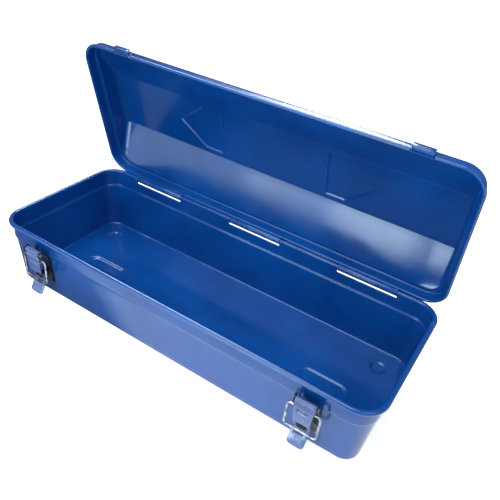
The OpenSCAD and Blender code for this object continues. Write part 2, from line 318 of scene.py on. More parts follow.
def round_the_plan(bm: Mesh, profile: Sequence[Pair], xs: list[float], ys: list[float], steps: int) -> None:
    """Sweeps a wall's profile once round the rounded plan.

    Args:
        bm: The mesh that takes the wall.
        profile: Points as (distance from the corner centres, height).
        xs: Grid lines along the long sides, from corner centre to corner centre.
        ys: Grid lines along the short sides, from corner centre to corner centre.
        steps: How many steps each corner takes.
    """
    cx, cy = SIZES.corner_x, SIZES.corner_y
    edges = chain(bm, [Vector((cx + r, cy, z)) for r, z in profile])
    along, across = Vector((1, 0, 0)), Vector((0, 1, 0))
    for x, y, way, lines in (
        (cx, cy, along, xs[::-1]), (-cx, cy, across, ys[::-1]), (-cx, -cy, along, xs), (cx, -cy, across, ys),
    ):
        edges = turned(bm, edges, Vector((x, y, 0)), Vector((0, 0, 1)), 90, steps)
        for start, end in zip(lines, lines[1:]):
            edges = drawn_out(bm, edges, way * (end - start))
    bmesh.ops.remove_doubles(bm, verts=bm.verts, dist=WELD)


def cut_lines(bm: Mesh, pick: Callable[[Face], bool], axis: int, values: Sequence[float]) -> None:
    """Cuts some faces along straight lines across one axis.

    Args:
        bm: The mesh.
        pick: Says which faces are cut.
        axis: 0 for lines of constant x, 1 for y, 2 for z.
        values: Where the lines are.
    """
    normal = Vector((axis == 0, axis == 1, axis == 2))
    for value in values:
        faces = [f for f in bm.faces if pick(f)]
        verts = {v for f in faces for v in f.verts}
        edges = {e for f in faces for e in f.edges}
        bmesh.ops.bisect_plane(
            bm, geom=[*verts, *edges, *faces], dist=1e-5, plane_co=normal * value, plane_no=normal
        )


def drop_faces(bm: Mesh, pick: Callable[[Vector], bool]) -> None:
    """Deletes the faces whose middles a test picks."""
    gone = [f for f in bm.faces if pick(f.calc_center_median())]
    bmesh.ops.delete(bm, geom=gone, context="FACES")


def sheet_ribbon(path: Sequence[Pair], half: float, thick: float, across: int = 2) -> Mesh:
    """Makes a bent strip of sheet from its middle line.

    Args:
        path: The middle line, as (second axis, third axis).
        half: Half of the strip's width, along the first axis.
        thick: The sheet's thickness.
        across: How many faces wide the strip is.

    Returns:
        The strip with its thickness.
    """
    bm = bmesh.new()
    edges = chain(bm, [Vector((-half, a, b)) for a, b in path])
    for _ in range(across):
        edges = drawn_out(bm, edges, Vector((2 * half / across, 0, 0)))
    return thickened(bm, thick)


def flat_sheet(outline: Sequence[Pair], x: float, thick: float) -> Mesh:
    """Makes a flat piece of sheet across the first axis from its outline in the other two."""
    bm = bmesh.new()
    bmesh.ops.contextual_create(bm, geom=chain(bm, [Vector((x, a, b)) for a, b in outline], closed=True))
    return thickened(bm, thick)


def thickened(bm: Mesh, thick: float) -> Mesh:
    """Gives a surface its thickness, half on each side."""
    bmesh.ops.recalc_face_normals(bm, faces=bm.faces)
    return solidified(bm, thick, 0.0, True)


def pressed(bm: Mesh, outermost: int, depth: float, wave: float, slack: Callable[[Vector], float]) -> Mesh:
    """Finishes a pressed sheet: faces outwards, a slow ripple and the thickness on the outside.

    Args:
        bm: The sheet's inner face.
        outermost: 1 if the topmost face looks outwards, -1 if the lowest one does.
        depth: The ripple's largest move.
        wave: The length of one of its waves.
        slack: How freely the sheet may ripple at a point.

    Returns:
        The sheet with its thickness.
    """
    bmesh.ops.recalc_face_normals(bm, faces=bm.faces)
    far = max(bm.faces, key=lambda f: outermost * f.calc_center_median().z)
    if far.normal.z * outermost < 0:
        bmesh.ops.reverse_faces(bm, faces=bm.faces)
    ripple(bm, depth, wave, slack)
    return solidified(bm, SHEET, 1.0, False)


def solidified(bm: Mesh, thick: float, offset: float, fine: bool) -> Mesh:
    """Runs a mesh through a solidify modifier and gives the result as a mesh in work again.

    Args:
        bm: The surface, freed here.
        thick: The thickness.
        offset: 0 puts it half on each side, 1 outwards along the normals.
        fine: Whether the modifier works its normals out more exactly.

    Returns:
        The closed mesh.
    """
    mesh = as_data("work", bm)
    holder = linked("work", mesh)
    modifier = holder.modifiers.new("sheet", "SOLIDIFY")
    modifier.thickness, modifier.offset = thick, offset
    modifier.use_even_offset, modifier.use_quality_normals = True, fine
    graph = bpy.context.evaluated_depsgraph_get()
    graph.update()
    result = bpy.data.meshes.new_from_object(holder.evaluated_get(graph))
    made = bmesh.new()
    made.from_mesh(result)
    bpy.data.objects.remove(holder)
    bpy.data.meshes.remove(mesh)
    bpy.data.meshes.remove(result)
    return made


def as_data(name: str, bm: Mesh) -> bpy.types.Mesh:
    """Turns a mesh in work into mesh data and frees it."""
    mesh = bpy.data.meshes.new(name)
    bm.to_mesh(mesh)
    bm.free()
    return mesh


def linked(name: str, data: bpy.types.ID) -> bpy.types.Object:
    """Makes an object of some data and puts it in the scene."""
    made = bpy.data.objects.new(name, data)
    bpy.context.scene.collection.objects.link(made)
    return made


def soft_edges(bm: Mesh, width: float, least_angle: float) -> None:
    """Rounds the edges of a closed mesh that turn more than an angle in degrees."""
    sharp = [e for e in bm.edges if e.is_manifold and e.calc_face_angle() > math.radians(least_angle)]
    bmesh.ops.bevel(
        bm, geom=sharp, offset=width, offset_type="OFFSET", segments=2, profile=0.5, affect="EDGES",
        material=-1, clamp_overlap=True,
    )


def wire_rod(points: Sequence[Vector], radius: float, bend: float, sides: int = 16) -> Mesh:
    """Bends a round wire along straight runs and round turns.

    Args:
        points: The corners of the wire's middle line.
        radius: The wire's radius.
        bend: The middle line's radius at each corner.
        sides: How many sides the wire has.

    Returns:
        The closed wire.
    """
    bm = bmesh.new()
    first = (points[1] - points[0]).normalized()
    bmesh.ops.create_circle(bm, cap_ends=False, radius=radius, segments=sides)
    bmesh.ops.rotate(bm, verts=bm.verts, cent=(0, 0, 0), matrix=first.to_track_quat("Z", "X").to_matrix())
    bmesh.ops.translate(bm, verts=bm.verts, vec=points[0])
    ring = list(bm.edges)
    start_ring = list(ring)
    at = points[0].copy()
    for before, corner, behind in zip(points, points[1:], points[2:]):
        along, after = (corner - before).normalized(), (behind - corner).normalized()
        swing = along.angle(after)
        reach = bend * math.tan(swing / 2)
        turn_from = corner - along * reach
        ring = drawn_out(bm, ring, turn_from - at)
        axis = along.cross(after).normalized()
        ring = turned(bm, ring, turn_from + axis.cross(along) * bend, axis, math.degrees(swing), 8)
        at = corner + after * reach
    ring = drawn_out(bm, ring, points[-1] - at)
    for loop in (start_ring, ring):
        bmesh.ops.contextual_create(bm, geom=loop)
    bmesh.ops.recalc_face_normals(bm, faces=bm.faces)
    soft_edges(bm, 0.35, 60)
    return bm


def lathed(profile: Sequence[Pair], steps: int) -> Mesh:
    """Spins a (radius, height) profile a full turn about the third axis."""
    bm = bmesh.new()
    edges = chain(bm, [Vector((r, 0, z)) for r, z in profile])
    geom = list(bm.verts) + edges
    bmesh.ops.spin(bm, geom=geom, cent=(0, 0, 0), axis=(0, 0, 1), angle=math.tau, steps=steps, use_merge=True)
    bmesh.ops.remove_doubles(bm, verts=bm.verts, dist=WELD)
    bmesh.ops.recalc_face_normals(bm, faces=bm.faces)
    return bm


def gathered(*parts: Mesh) -> Mesh:
    """Puts several meshes together in one."""
    whole = bmesh.new()
    for part in parts:
        mesh = as_data("part", part)
        whole.from_mesh(mesh)
        bpy.data.meshes.remove(mesh)
    return whole


def placed(bm: Mesh, matrix: Matrix) -> Mesh:
    """Moves a mesh by a matrix, turning its faces back out if the matrix mirrors it."""
    bmesh.ops.transform(bm, matrix=matrix, verts=bm.verts)
    if matrix.determinant() < 0:
        bmesh.ops.reverse_faces(bm, faces=bm.faces)
    return bm


def moved(bm: Mesh, x: float, y: float, z: float) -> Mesh:
    """Shifts a mesh."""
    bmesh.ops.translate(bm, verts=bm.verts, vec=(x, y, z))
    return bm


def along_x(x: float, y: float, z: float, sign: int = 1) -> Matrix:
    """Lays what is drawn on the third axis along the first, or against it, with its zero at a point."""
    return Matrix.Translation((x, y, z)) @ Matrix.Rotation(math.radians(90 * sign), 4, "Y")


def ripple(bm: Mesh, depth: float, wave: float, slack: Callable[[Vector], float]) -> None:
    """Moves a surface by a slow noise, as pressed sheet never stays quite flat."""
    bm.normal_update()
    for v in bm.verts:
        share = slack(v.co)
        if share > 0:
            v.co += v.normal * depth * share * noise.noise(v.co / wave)


def mark_wear(bm: Mesh) -> None:
    """Stores on each point how much of a convex edge it is, for the finishes to read."""
    layer = bm.verts.layers.float.new("wear")
    for v in bm.verts:
        angles = [e.calc_face_angle_signed(0.0) for e in v.link_edges if e.is_manifold]
        v[layer] = min(1.0, max(0.0, max(angles, default=0.0) / math.radians(30)))
    softened = {
        v: (v[layer] * 2 + sum(e.other_vert(v)[layer] for e in v.link_edges)) / (2 + len(v.link_edges))
        for v in bm.verts
    }
    for v, value in softened.items():
        v[layer] = value


def piece(
    name: str, bm: Mesh, place: Matrix, body: Body, material: Material, nodes: Sequence[str],
    sharp: float = 32.0,
) -> None:
    """Finishes a mesh as a named piece of the object.

    Args:
        name: The piece's name.
        bm: Its mesh in millimetres, freed here.
        place: From the mesh's frame to the case's, in millimetres.
        body: The body it rides.
        material: Its finish.
        nodes: The CAD nodes it stands for.
        sharp: Edges that turn more than this, in degrees, shade sharp.
    """
    placed(bm, place)
    mark_wear(bm)
    bmesh.ops.scale(bm, verts=bm.verts, vec=(MM, MM, MM))
    mesh = as_data(name, bm)
    mesh.shade_smooth()
    mesh.set_sharp_from_angle(angle=math.radians(sharp))
    mesh.materials.append(material)
    made = linked(name, mesh)
    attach(made, body.value)
    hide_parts(*nodes)
    log.info("%s: %d faces, rides %s", name, len(mesh.polygons), body.value)


# ---- finishes ----


def linear(colour: str) -> tuple[float, float, float, float]:
    """Turns an sRGB hex colour into linear red, green, blue and alpha."""
    parts = [int(colour.lstrip("#")[k : k + 2], 16) / 255 for k in (0, 2, 4)]
    return (*(c / 12.92 if c <= 0.04045 else ((c + 0.055) / 1.055) ** 2.4 for c in parts), 1.0)


def add_node(tree: Tree, kind: str, *inputs: object, out: str | int = 0, **settings: object) -> Socket:
    """Adds one shader node.

    Args:
        tree: The node tree.
        kind: The node's type name, after ShaderNode.
        inputs: What goes into its first inputs: a socket is linked, and None leaves one alone.
        out: The output that is wanted, by name or number.
        settings: Its properties, a ramp's stops, or more inputs by name.

    Returns:
        The output.
    """
    made = tree.nodes.new(f"ShaderNode{kind}")
    fed = dict(enumerate(inputs))
    for key, value in settings.items():
        if key == "stops":
            for element, (at, colour) in zip(made.color_ramp.elements, value):
                element.position, element.color = at, linear(colour)
        elif hasattr(made, key):
            setattr(made, key, value)
        else:
            fed[key] = value
    for key, value in fed.items():
        if isinstance(value, Socket):
            tree.links.new(value, made.inputs[key])
        elif value is not None:
            made.inputs[key].default_value = value
    return made.outputs[out]


def per_metre(size_mm: float) -> float:
    """The noise scale that gives features of a size in millimetres on coordinates in metres."""
    return 1 / (size_mm * MM)


class Paint:
    """A principled material in work, with the Object coordinates that its patterns read."""

    def __init__(self, name: str) -> None:
        """Starts a material."""
        self.material = bpy.data.materials.new(name)
        self.material.use_nodes = True
        self.tree = self.material.node_tree
        self.inputs = self.tree.nodes["Principled BSDF"].inputs
        self.add = partial(add_node, self.tree)
        self.place = self.add("TexCoord", out="Object")

    def feed(self, name: str, source: Socket) -> None:
        """Links a socket to one of the shader's inputs."""
        self.tree.links.new(source, self.inputs[name])


@dataclass(frozen=True)
class Enamel:
    """Stoving enamel over pressed sheet steel.

    Sprayed and baked, it flows into a high gloss with a fine orange peel, so reflections
    are clear but grainy. Corners and rims rub to a paler, duller blue.
    """

    name: str = "stoving_enamel_on_pressed_steel"
    deep: str = "#08438E"
    full: str = "#0B51A2"
    rubbed: str = "#94B2EE"
    sheen: str = "#DCF0FF"
    cloud_mm: float = 70.0  # the coat's slow change of shade
    fleck_mm: float = 0.9  # pigment grain
    fleck: float = 0.1
    patch_mm: float = 7.0  # rubbed patches along the edges
    smear_mm: float = 28.0  # where hands have dulled the gloss
    peel_mm: float = 1.9  # orange peel
    peel_depth_mm: float = 0.05

    def material(self) -> Material:
        """Builds the finish."""
        paint = Paint(self.name)
        add, place = paint.add, paint.place
        cloud = add("TexNoise", place, Scale=per_metre(self.cloud_mm), Detail=3.0)
        base = add("ValToRGB", cloud, stops=[(0.35, self.deep), (0.65, self.full)])
        fleck = add("TexNoise", place, Scale=per_metre(self.fleck_mm), Detail=2.0)
        shade = add("MapRange", fleck, 0.3, 0.7, 1 - self.fleck, 1 + self.fleck)
        grain = add("HueSaturation", Fac=1.0, Color=base, Value=shade)
        edges = add("MapRange", add("Attribute", attribute_name="wear", out="Fac"), 0.45, 0.95, 0.0, 1.0)
        patch = add("TexNoise", place, Scale=per_metre(self.patch_mm), Detail=6.0, Roughness=0.7)
        rubs = add("MapRange", patch, 0.5, 0.68, 0.0, 0.45)
        worn = add("Math", edges, rubs, operation="MULTIPLY", use_clamp=True)
        smear = add("TexNoise", place, Scale=per_metre(self.smear_mm), Detail=5.0)
        dull = add("MapRange", smear, 0.3, 0.7, 0.11, 0.19)
        peel = add("TexNoise", place, Scale=per_metre(self.peel_mm), Detail=2.0, Roughness=0.45)
        paint.feed("Base Color", add("Mix", worn, *SKIP, grain, linear(self.rubbed), data_type="RGBA", out=2))
        paint.feed("Roughness", add("Math", worn, 0.2, dull, operation="MULTIPLY_ADD"))
        paint.feed("Normal", add("Bump", 0.7, self.peel_depth_mm * MM, Height=peel))
        paint.inputs["IOR"].default_value = 1.62
        paint.inputs["Specular Tint"].default_value = linear(self.sheen)
        return paint.material


@dataclass(frozen=True)
class Zinc:
    """Bright zinc plating on pressed or drawn steel.

    The barrel leaves a cool silver with a soft bloom, small dull stains and, on wire, the
    die's fine lines along its length.
    """

    name: str
    bright: str
    dull: str
    lines: Triple = (1.0, 1.0, 1.0)  # under 1 along an axis draws the fine marks out along it
    rubbed: str = "#E6EAF0"
    bloom_mm: float = 5.0  # stains
    fine_mm: float = 0.6  # marks of the barrel or the die
    fine_depth_mm: float = 0.02

    def material(self) -> Material:
        """Builds the finish."""
        paint = Paint(self.name)
        add, place = paint.add, paint.place
        bloom = add("TexNoise", place, Scale=per_metre(self.bloom_mm), Detail=5.0, Roughness=0.65)
        plated = add("ValToRGB", bloom, stops=[(0.38, self.dull), (0.58, self.bright)])
        edges = add("MapRange", add("Attribute", attribute_name="wear", out="Fac"), 0.8, 1.0, 0.0, 0.8)
        drawn = add("Mapping", place, Scale=self.lines)
        fine = add("TexNoise", drawn, Scale=per_metre(self.fine_mm), Detail=3.0)
        ends = plated, linear(self.rubbed)
        paint.feed("Base Color", add("Mix", edges, *SKIP, *ends, data_type="RGBA", out=2))
        paint.feed("Roughness", add("MapRange", bloom, 0.3, 0.7, 0.42, 0.22))
        paint.feed("Normal", add("Bump", 0.5, self.fine_depth_mm * MM, Height=fine))
        paint.inputs["Metallic"].default_value = 1.0
        return paint.material


@dataclass(frozen=True)
class GripPlastic:
    """Moulded black PVC with a spark-eroded grain: a dull sheen that hands polish."""

    name: str = "moulded_black_pvc"
    black: str = "#17181A"
    grey: str = "#2A2B2E"
    haze_mm: float = 14.0  # where hands have polished it
    grain_mm: float = 0.7  # the mould's spark-eroded grain
    grain_depth_mm: float = 0.06

    def material(self) -> Material:
        """Builds the finish."""
        paint = Paint(self.name)
        add, place = paint.add, paint.place
        haze = add("TexNoise", place, Scale=per_metre(self.haze_mm), Detail=4.0)
        grain = add("TexVoronoi", place, Scale=per_metre(self.grain_mm), feature="SMOOTH_F1", out="Distance")
        paint.feed("Base Color", add("ValToRGB", haze, stops=[(0.35, self.black), (0.7, self.grey)]))
        paint.feed("Roughness", add("MapRange", haze, 0.3, 0.7, 0.42, 0.6))
        paint.feed("Normal", add("Bump", 0.6, self.grain_depth_mm * MM, Height=grain))
        return paint.material


@dataclass(frozen=True)
class Finishes:
    """The finishes of the box."""

    enamel: Material
    lever: Material
    plate: Material
    zinc: Material
    wire: Material
    grip: Material

    @classmethod
    def made(cls) -> "Finishes":
        """Builds them all."""
        # painted sheen: the lever gets a paler copy of the box's blue for its strong white reflection; its
        # near-white rubbed edges are partly wear, partly a painted highlight on the rolled top
        lever = Enamel(
            "latch_lever_enamel_with_painted_sheen", "#3E5590", "#667CB2", "#D8E2F2",
            fleck=0.3, peel_mm=1.5, peel_depth_mm=0.1,
        )
        return cls(
            Enamel().material(),
            lever.material(),
            # painted shade: the back plate's zinc is made dark, standing in for the shade between the lever
            # and the front wall
            Zinc("back_plate_zinc_with_painted_shade", "#464E5A", "#1B1F26").material(),
            Zinc("handled_zinc_on_pressed_steel", "#8E98A6", "#4C5462").material(),
            Zinc("bright_zinc_on_drawn_wire", "#B4BCC6", "#4E555E", (0.15, 1.0, 1.0)).material(),
            GripPlastic().material(),
        )


# ---- sub-assemblies ----


@dataclass
class Tray:
    """The tray, pressed from one sheet: floor with feet, leaning wall, band and rolled rim."""

    finishes: Finishes
    radii: Triple = (2.5, 1.1, 1.3)  # at the floor and below and above the step
    floor_spare: float = 0.3  # the flat floor ends this much before the radius
    step_under: float = 0.9
    step_over: float = 1.3
    slot_rows: Triple = (5.1, 3.0, 1.2)  # below the rim's middle: a hinge slot's low edge, middle and top
    roll_end: float = -115.0
    foot_radius: float = 8.0
    foot_depth: float = 1.5
    foot_slope: float = 2.0
    foot_run_out: float = 0.4
    corner_steps: int = 14
    coarse: float = 13.0
    coarse_y: float = 11.5
    fine: float = 0.9
    foot_reach: float = 1.4  # how far the fine grid goes past a foot
    wave: Pair = (0.3, 62.0)  # depth and length of the sheet's slow ripple
    feet: tuple[Triple, ...] = (
        (-172.0, -172.0, -46.5), (172.0, 172.0, -46.5), (-172.0, -172.0, 46.5), (172.0, 172.0, 46.5),
        (-152.0, -120.0, -5.0), (120.0, 152.0, -5.0),
    )  # each from x to x, at y

    def profile(self) -> list[Pair]:
        """The sheet's inner face from the floor's edge up and over the rolled rim."""
        s = SIZES
        slope = math.tan(s.lean)
        base = s.corner - s.wall_in + SHEET * slope - SHEET
        floor_run = base - self.radii[0] * math.tan(math.radians(45) - s.lean / 2) - self.floor_spare
        under = s.jog_z - self.step_under
        wall_top = s.lower_wall - SHEET - (s.jog_z - under) * slope
        low, *rows = (s.curl_z - drop for drop in self.slot_rows)
        over = s.jog_z + self.step_over
        corners = [(floor_run, SHEET), (base, SHEET), (wall_top, under), (s.wall, over), (s.wall, low)]
        path = rounded_path(corners, self.radii, 8, 7.0) + [(s.wall, z) for z in rows]
        return path + arc((s.curl_at, s.curl_z), s.curl, 180 - 8, self.roll_end, 26)

    def build(self) -> Mesh:
        """Builds the sheet with its thickness."""
        s = SIZES
        slots = [x + half for x in s.hinge_xs for half in (-s.slot_half, s.slot_half)]
        xs = merged(slots, clear_of(slots, 3.0, spaced(-s.corner_x, s.corner_x, self.coarse)))
        ys = spaced(-s.corner_y, s.corner_y, self.coarse_y)
        bm = bmesh.new()
        round_the_plan(bm, self.profile(), xs, ys, self.corner_steps)
        inner = [e for e in bm.edges if e.is_boundary and all(self._low(v) for v in e.verts)]
        bmesh.ops.contextual_create(bm, geom=inner)
        bm.normal_update()
        for axis, values in enumerate(self._floor_lines()):
            cut_lines(bm, self._on_floor, axis, values)
        for v in filter(self._low, bm.verts):
            near = min(math.hypot(v.co.x - min(max(v.co.x, x0), x1), v.co.y - y) for x0, x1, y in self.feet)
            rise = ease(near, self.foot_radius - self.foot_slope, self.foot_radius + self.foot_run_out)
            v.co.z -= self.foot_depth * (1 - rise)
        drop_faces(bm, self._in_slot)
        return pressed(bm, -1, *self.wave, self._slack)

    def _floor_lines(self) -> list[list[float]]:
        """Lines of constant x and of constant y that cut the floor, close together over the feet."""
        reach = self.foot_radius + self.foot_reach
        lines = []
        for limit, feet in (
            (SIZES.corner_x, sorted({(x0, x1) for x0, x1, _ in self.feet})),
            (SIZES.corner_y, sorted({(y, y) for _, _, y in self.feet})),
        ):
            close = [spaced(low - reach, high + reach, self.fine) for low, high in feet]
            clear = [
                v for v in spaced(-limit, limit, self.coarse)
                if all(v < low - reach - 2 or v > high + reach + 2 for low, high in feet)
            ]
            lines.append(merged(*close, clear))
        return lines

    @staticmethod
    def _low(vert: Vert) -> bool:
        """Says whether a point lies on the floor's inner face."""
        return abs(vert.co.z - SHEET) < FLAT

    def _on_floor(self, face: Face) -> bool:
        """Says whether a face is part of the flat floor."""
        return all(self._low(v) for v in face.verts) and abs(face.normal.z) > 0.99

    def _in_slot(self, at: Vector) -> bool:
        """Says whether a face's middle is in a hinge slot of the back wall."""
        s = SIZES
        low, _, top = (s.curl_z - drop for drop in self.slot_rows)
        in_x = any(abs(at.x - x) < s.slot_half for x in s.hinge_xs)
        return in_x and low < at.z < top and 0 < at.y < s.curl_y - s.curl + 0.4

    @staticmethod
    def _slack(at: Vector) -> float:
        """How freely the sheet may ripple: not at the rim, the step or the floor's edge."""
        jog = SIZES.jog_z
        if at.z > jog - 4 or at.z < SHEET - 0.05:
            return 0.0
        return ease(at.z, SHEET, 12.0) * (1 - ease(at.z, jog - 14, jog - 4))

    def dress(self) -> None:
        """Hands the tray over as a piece."""
        place = Matrix.Identity(4)
        piece("tray", self.build(), place, Body.CASE, self.finishes.enamel, ["tray_shell"])


@dataclass
class Lid:
    """The lid, pressed from one sheet: rolled rim, skirt, ledge, two slopes, a top and two pads."""

    finishes: Finishes
    height: float = 33.5
    ledge: float = 4.0
    top: float = 61.0
    crease: float = 4.0
    end_radius: float = 7.0
    pad_out: float = 1.2
    pad_inner: float = 61.0
    pad_flat: float = 22.0
    pad_tip: float = 53.0
    pad_half: float = 25.0
    pad_slope: Pair = (-0.9, 1.3)
    knuckle: float = 3.65  # radius that the hinge knuckles need to turn
    corner_steps: int = 12
    end_rows: int = 6
    end_turn: int = 8
    run: float = 172.0  # half of the roof's evenly divided length
    coarse: float = 12.0
    coarse_y: float = 5.0
    fine: float = 1.3
    seam: float = 2e-3  # roof and skirt meet within this
    wave: Pair = (0.35, 70.0)  # depth and length of the sheet's slow ripple

    @property
    def curl_z(self) -> float:
        """Height of the rim's middle over the tray's rim."""
        return SIZES.rim_gap + SIZES.lid_curl

    @property
    def roof_reach(self) -> float:
        """Distance of the roof's inner face from the corner centres, at the ledge."""
        return SIZES.wall + SHEET - self.ledge - SHEET

    def profile(self) -> list[Pair]:
        """The sheet's inner face from the ledge's inner edge down the skirt and round the rim."""
        s = SIZES
        ledge_z = s.skirt - SHEET
        corners = [(self.roof_reach, ledge_z), (s.wall, ledge_z), (s.wall, self.curl_z + 1.0)]
        middle = (s.wall - s.lap + s.lid_curl, self.curl_z)
        return rounded_path(corners, [1.2], 8, 3.0) + arc(middle, s.lid_curl, 188, 474, 26)

    def across(self) -> list[Pair]:
        """The roof's inner face from front to back, as (y, z)."""
        skirt = SIZES.skirt
        reach = SIZES.corner_y + self.roof_reach
        slope = math.atan((self.height - skirt) / (reach + SHEET - self.top / 2))
        edge_z = skirt + SHEET * math.tan(slope) - SHEET / math.cos(slope)
        top_y, top_z = self.top / 2 - SHEET * math.tan(slope / 2), self.height - SHEET
        corners = [(-reach, edge_z), (-top_y, top_z), (top_y, top_z), (reach, edge_z)]
        return rounded_path(corners, [self.crease, self.crease], 14)

    def roof_z(self, y: float) -> float:
        """Height of the roof's inner face at a distance from the middle."""
        path = self.across()
        for (y0, z0), (y1, z1) in zip(path, path[1:]):
            if y0 <= y <= y1:
                return z0 + (z1 - z0) * (y - y0) / (y1 - y0)
        return path[0][1]

    def roof_end(self, y: float) -> float:
        """How far along the roof reaches at a distance from the middle."""
        past = max(0.0, abs(y) - SIZES.corner_y)
        return SIZES.corner_x + math.sqrt(max(0.0, self.roof_reach**2 - past**2))

    def pad_height(self, x: float, y: float) -> float:
        """How far the five-sided pads stand out at a point."""
        px, py = abs(x) - self.pad_inner, abs(y)
        tip = Vector((self.pad_tip - self.pad_flat, -self.pad_half)).normalized()
        slant = (px - self.pad_flat) * -tip.y + (py - self.pad_half) * tip.x
        return self.pad_out * ease(min(px, self.pad_half - py, -slant), *self.pad_slope)

    def grid(self) -> tuple[list[float], list[float], list[float]]:
        """Lines along the case, across its straight part and round its corners."""
        s = SIZES
        over_pad = spaced(self.pad_inner - 2, self.pad_inner + self.pad_tip + 3, self.fine)
        pads = [sign * v for sign in (-1, 1) for v in over_pad]
        notches = [sign * s.latch_x + half for sign in (-1, 1) for half in (-s.notch_half, s.notch_half)]
        hinges = [x + half for x in s.hinge_xs for half in (-s.slot_half, s.slot_half)]
        wanted = merged(pads, notches, hinges)
        xs = merged(wanted, clear_of(wanted, 3.0, spaced(-self.run, self.run, self.coarse)))
        folds = [y for y, _ in self.across() if abs(y) < s.corner_y - 1]
        near = merged(spaced(-self.pad_half - 2, self.pad_half + 2, self.fine), folds)
        ys = merged(near, clear_of(near, 2.0, spaced(-s.corner_y, s.corner_y, self.coarse_y)))
        ys[0], ys[-1] = -s.corner_y, s.corner_y
        angles = [math.radians(90 * k / self.corner_steps) for k in range(1, self.corner_steps + 1)]
        return xs, ys, [s.corner_y + self.roof_reach * math.sin(a) for a in angles]

    def roof(self) -> Mesh:
        """Shapes a flat grid into the roof's inner face."""
        xs, ys, corner = self.grid()
        rows = [-v for v in reversed(corner)] + ys + corner
        rows = [rows[0], *rows, rows[-1]]
        wall, turn = self.end_rows, self.end_turn
        columns = len(xs) + 2 * (wall + turn)
        base = SIZES.skirt - SHEET
        bm = bmesh.new()
        bmesh.ops.create_grid(bm, x_segments=columns - 1, y_segments=len(rows) - 1, size=1.0)
        for v in bm.verts:
            i = round((v.co.x + 1) / 2 * (columns - 1))
            j = round((v.co.y + 1) / 2 * (len(rows) - 1))
            y = rows[j]
            level = base if j in (0, len(rows) - 1) else self.roof_z(y)
            side = -1 if i < columns / 2 else 1
            k = min(i, columns - 1 - i)
            end = self.roof_end(y)
            bend = min(self.end_radius, max(0.0, level - base))
            if k < wall:
                x, z = side * end, base + (level - bend - base) * k / wall
            elif k < wall + turn:
                a = math.radians(90 * (k - wall) / turn)
                x, z = side * (end - bend * (1 - math.cos(a))), level - bend * (1 - math.sin(a))
            else:
                x = xs[i - wall - turn]
                z = level + self.pad_height(x, y)
            v.co = (x, y, z)
        return bm

    def build(self) -> Mesh:
        """Builds the sheet with its thickness."""
        s = SIZES
        xs, ys, _ = self.grid()
        ring = bmesh.new()
        round_the_plan(ring, self.profile(), [-s.corner_x, *xs, s.corner_x], ys, self.corner_steps)
        bm = gathered(self.roof(), ring)
        bmesh.ops.remove_doubles(bm, verts=bm.verts, dist=self.seam)
        drop_faces(bm, self._in_notch)
        self._clear_knuckles(bm)
        return pressed(bm, 1, *self.wave, lambda at: ease(at.z, s.skirt + 1, s.skirt + 9))

    def _in_notch(self, at: Vector) -> bool:
        """Says whether a face's middle is in a keeper's notch of the rim."""
        s = SIZES
        in_x = abs(abs(at.x) - s.latch_x) < s.notch_half
        return in_x and at.y < -(s.corner_y + s.wall + SHEET + 0.2) and at.z < self.curl_z + s.lid_curl + 0.2

    def _clear_knuckles(self, bm: Mesh) -> None:
        """Hollows the back rim where the hinge knuckles turn."""
        s = SIZES
        middle = Vector((s.curl_y, s.curl_z - s.rim_top))
        for v in bm.verts:
            away = Vector((v.co.y, v.co.z)) - middle
            at_hinge = v.co.y > 0 and any(abs(v.co.x - x) < s.slot_half + 0.1 for x in s.hinge_xs)
            if at_hinge and away.length < self.knuckle:
                v.co.y, v.co.z = middle + away.normalized() * self.knuckle

    def dress(self) -> None:
        """Hands the lid over as a piece."""
        piece("lid", self.build(), opened(), Body.LID, self.finishes.enamel, ["lid_shell"])


@dataclass
class HingeStraps:
    """Three strips of sheet that wrap the tray's back rim and are welded to the lid's skirt."""

    finishes: Finishes
    thick: float = 1.0
    shoulder: float = 4.0  # how much wider the leaf is than the knuckle, on each side
    lap: float = 1.75
    leaf_end: float = 2.0  # below the skirt's top

    def build(self, x: float) -> Mesh:
        """Builds one strap at a place along the case."""
        s = SIZES
        ring = s.curl + RUN_GAP + self.thick / 2
        pitch = 2 * s.curl + s.rim_gap
        wall = s.wall + SHEET - s.curl_at + self.thick / 2
        knuckle = sheet_ribbon(arc((0, 0), ring, 0, -352, 40), s.hinge_w / 2, self.thick)
        leaf_path = [(ring, -self.lap), (ring, pitch)] + arc((0, pitch), ring, 6, 84, 8)
        leaf_path += rounded_path(
            [(0, pitch + ring), (wall, pitch + ring), (wall, s.skirt + s.curl - self.leaf_end)], [0.5]
        )
        leaf = sheet_ribbon(leaf_path, s.hinge_w / 2 + self.shoulder, self.thick)
        bm = gathered(knuckle, leaf)
        bmesh.ops.recalc_face_normals(bm, faces=bm.faces)
        soft_edges(bm, 0.22, 50)
        return moved(bm, x, s.curl_y, s.curl_z - s.rim_top)

    def dress(self) -> None:
        """Hands the straps over as pieces."""
        enamel = self.finishes.enamel
        for name, x in zip(("left", "middle", "right"), SIZES.hinge_xs):
            node = f"hinge_strap_{name}"
            piece(f"strap_{name}", self.build(x), opened(), Body.LID, enamel, [node])


